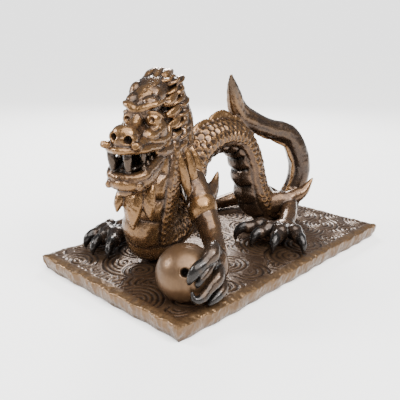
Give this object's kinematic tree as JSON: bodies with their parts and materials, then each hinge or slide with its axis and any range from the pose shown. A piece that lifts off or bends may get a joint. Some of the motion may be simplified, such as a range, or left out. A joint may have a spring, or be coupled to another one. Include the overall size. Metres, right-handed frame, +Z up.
{
  "type": "dragon sculpture",
  "caption": "Scaled clay dragon arching over an engraved slab, mouth open and tail raised over its back, a forefoot clutching a pearl, in bronze lustre glaze.",
  "frame": {"origin": "centre of the slab's underside", "axes": "+Z up, +X the way the dragon faces, along the slab's length, +Y its left side"},
  "size_m": [0.3, 0.177, 0.1748],
  "materials": {
    "slab_glaze": "gloss",
    "dragon_glaze": "gloss",
    "pearl_glaze": "satin"
  },
  "bodies": {
    "root": {"plinth": "slab_glaze", "dragon": "dragon_glaze", "pearl": "pearl_glaze"}
  },
  "joints": []
}
